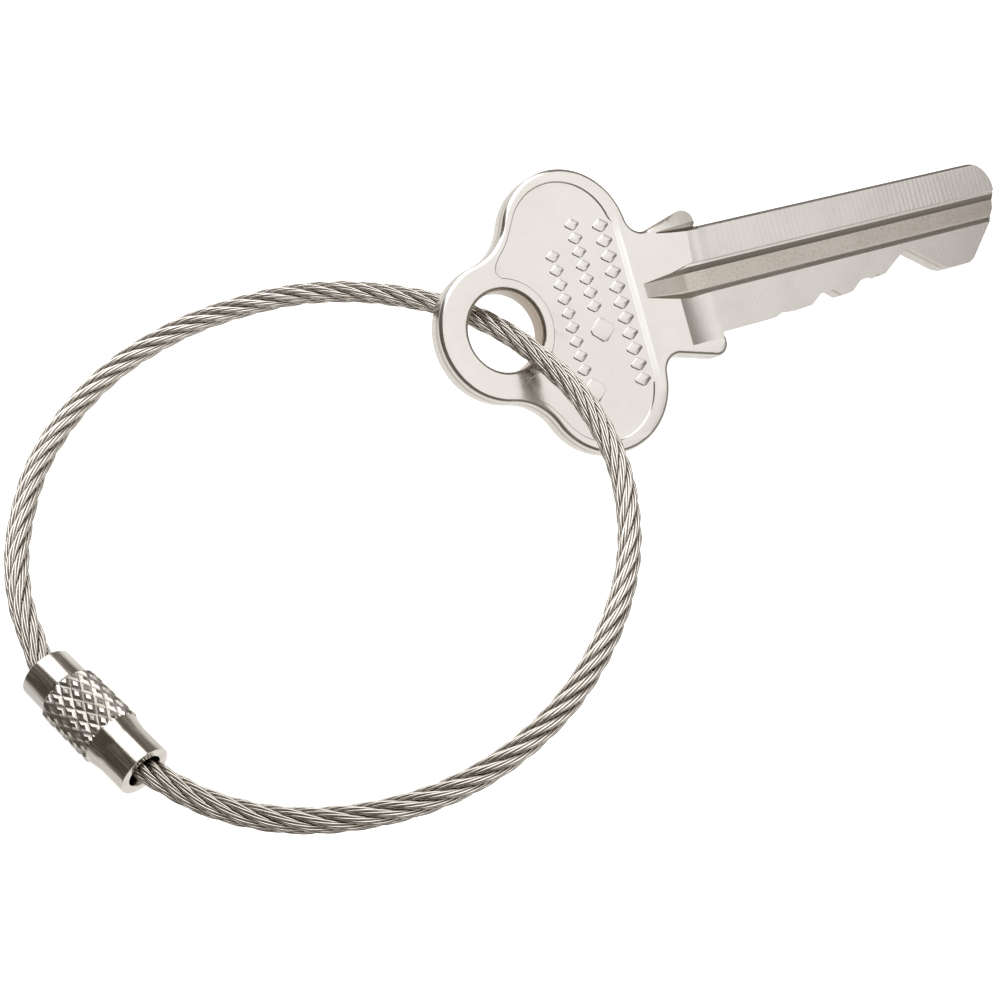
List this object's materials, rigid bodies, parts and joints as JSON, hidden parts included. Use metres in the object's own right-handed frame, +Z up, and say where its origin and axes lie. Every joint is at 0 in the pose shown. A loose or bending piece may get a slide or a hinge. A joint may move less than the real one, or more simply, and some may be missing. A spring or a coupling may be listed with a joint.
{
  "type": "wire rope key ring with key",
  "caption": "Flat cylinder-lock key hung by its round bow hole on a steel wire-rope loop, whose ends join in a knurled screw barrel that unscrews to open the ring.",
  "frame": {"origin": "on the surface the object lies on, under the centre of the key and the screw barrel taken together, without the rope", "axes": "+X across the object towards the key's tip side, +Y towards the far side of the picture, +Z up from the surface"},
  "size_m": [0.0823, 0.0668, 0.0125],
  "materials": {
    "rope": "bright drawn stainless wire, stranded",
    "stud": "turned and polished",
    "stop": "plain crimped sleeve",
    "barrel": "polished with a diamond knurl",
    "key": "satin nickel plate over the base metal"
  },
  "bodies": {
    "ring": {"wire_rope": "rope", "threaded_end": "stud"},
    "loose_end": {"stop_ferrule": "stop"},
    "barrel": {"knurled_barrel": "barrel"},
    "key": {"key": "key"}
  },
  "joints": [
    {"name": "end_slide", "type": "slide", "parent": "ring", "child": "loose_end", "axis": [0.7143, -0.6835, 0.1502], "range_m": [0, 0.0035], "deforming": ["wire_rope"]},
    {"name": "barrel_spin", "type": "hinge", "parent": "loose_end", "child": "barrel", "pos_m": [-0.0351, -0.02644, 0.00278], "axis": [0.7143, -0.6835, 0.1502], "range_deg": [0, 2521]},
    {"name": "key_swing", "type": "hinge", "parent": "ring", "child": "key", "pos_m": [-0.0073, 0.00545, 0.0069], "axis": [0.7814, -0.6031, 0.16], "range_deg": [-1, 175]}
  ],
  "couplings": [
    {"joint": "barrel_spin", "follows": "end_slide", "rad_per_m": 12566}
  ]
}
